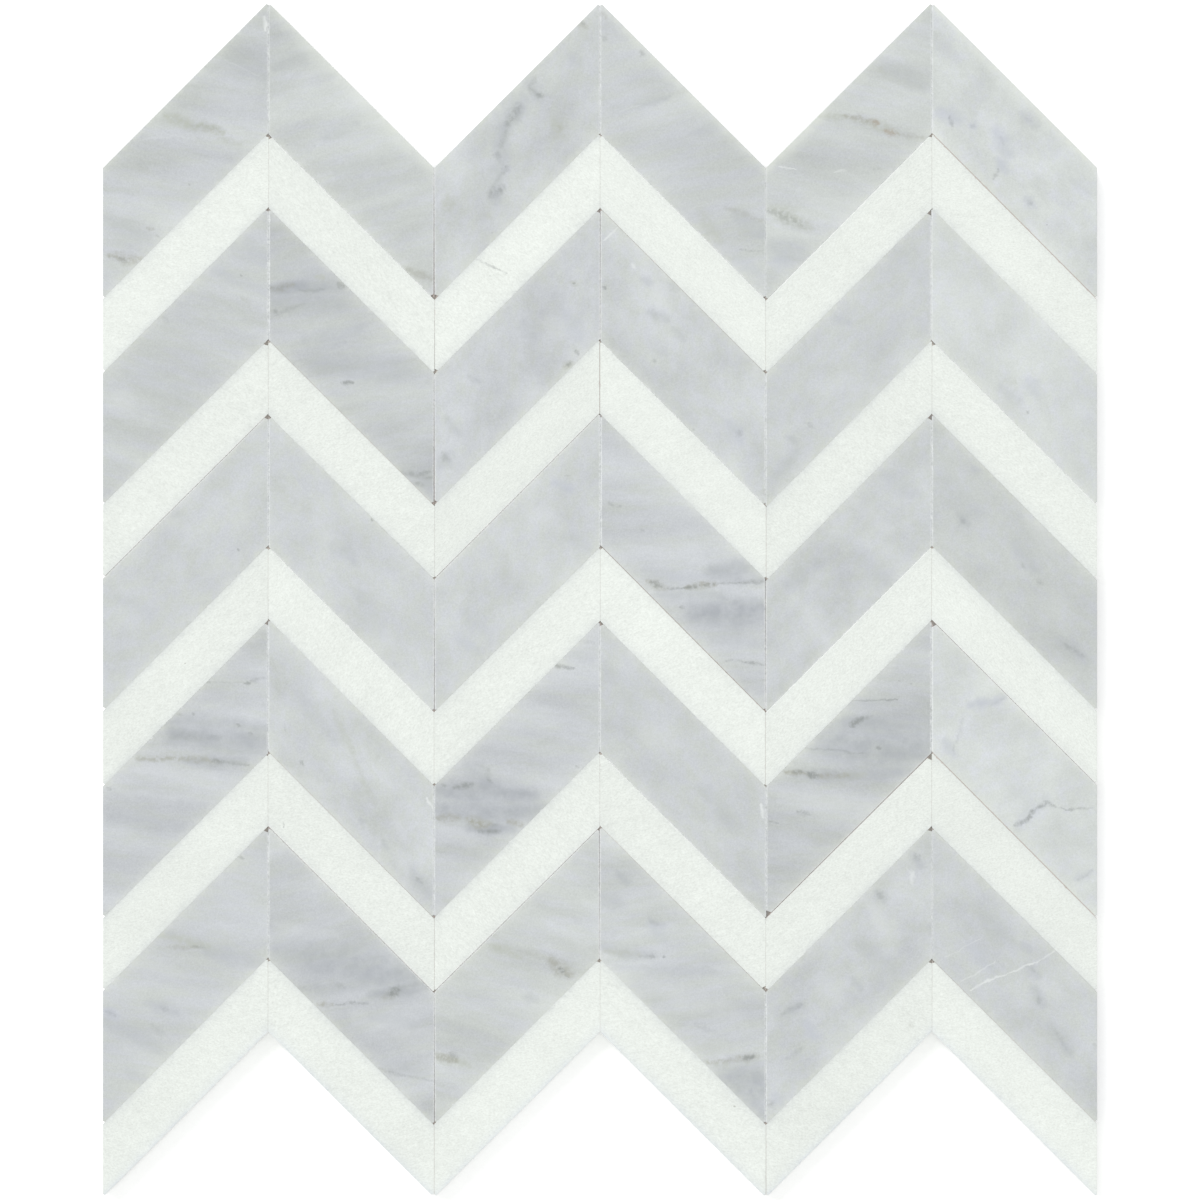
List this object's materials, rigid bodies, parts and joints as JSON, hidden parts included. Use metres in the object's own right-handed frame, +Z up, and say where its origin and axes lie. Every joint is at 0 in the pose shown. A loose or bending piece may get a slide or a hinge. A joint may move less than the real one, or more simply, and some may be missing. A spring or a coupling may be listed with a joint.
{
  "type": "chevron mosaic tile sheet",
  "caption": "Flat wall tile sheet of mitred marble chips in a chevron pattern, wide grey-veined courses alternating with narrow white ones, zigzag top and bottom edges, net backing.",
  "frame": {"origin": "middle of the sheet's underside, as it lies face up on the floor", "axes": "+Z up through the polished face, +Y the way the chevrons' peaks point, +X to the right seen from above"},
  "size_m": [0.2728, 0.3264, 0.0106],
  "materials": {
    "grey_marble": "honed, softly veined",
    "white_marble": "honed, crystalline",
    "backing_net": "glass fibre net with cured glue"
  },
  "bodies": {
    "root": {"mesh_backing": "backing_net", "grey_chip_r1_c1": "grey_marble", "grey_chip_r1_c2": "grey_marble", "grey_chip_r1_c3": "grey_marble", "grey_chip_r1_c4": "grey_marble", "grey_chip_r1_c5": "grey_marble", "grey_chip_r1_c6": "grey_marble", "white_pair_r1_v1": "white_marble", "white_pair_r1_v2": "white_marble", "white_pair_r1_v3": "white_marble", "grey_chip_r2_c1": "grey_marble", "grey_chip_r2_c2": "grey_marble", "grey_chip_r2_c3": "grey_marble", "grey_chip_r2_c4": "grey_marble", "grey_chip_r2_c5": "grey_marble", "grey_chip_r2_c6": "grey_marble", "white_pair_r2_v1": "white_marble", "white_pair_r2_v2": "white_marble", "white_pair_r2_v3": "white_marble", "grey_chip_r3_c1": "grey_marble", "grey_chip_r3_c2": "grey_marble", "grey_chip_r3_c3": "grey_marble", "grey_chip_r3_c4": "grey_marble", "grey_chip_r3_c5": "grey_marble", "grey_chip_r3_c6": "grey_marble", "white_pair_r3_v1": "white_marble", "white_pair_r3_v2": "white_marble", "white_pair_r3_v3": "white_marble", "grey_chip_r4_c1": "grey_marble", "grey_chip_r4_c2": "grey_marble", "grey_chip_r4_c3": "grey_marble", "grey_chip_r4_c4": "grey_marble", "grey_chip_r4_c5": "grey_marble", "grey_chip_r4_c6": "grey_marble", "white_pair_r4_v1": "white_marble", "white_pair_r4_v2": "white_marble", "white_pair_r4_v3": "white_marble", "grey_chip_r5_c1": "grey_marble", "grey_chip_r5_c2": "grey_marble", "grey_chip_r5_c3": "grey_marble", "grey_chip_r5_c4": "grey_marble", "grey_chip_r5_c5": "grey_marble", "grey_chip_r5_c6": "grey_marble", "white_pair_r5_v1": "white_marble", "white_pair_r5_v2": "white_marble", "white_pair_r5_v3": "white_marble"}
  },
  "joints": []
}
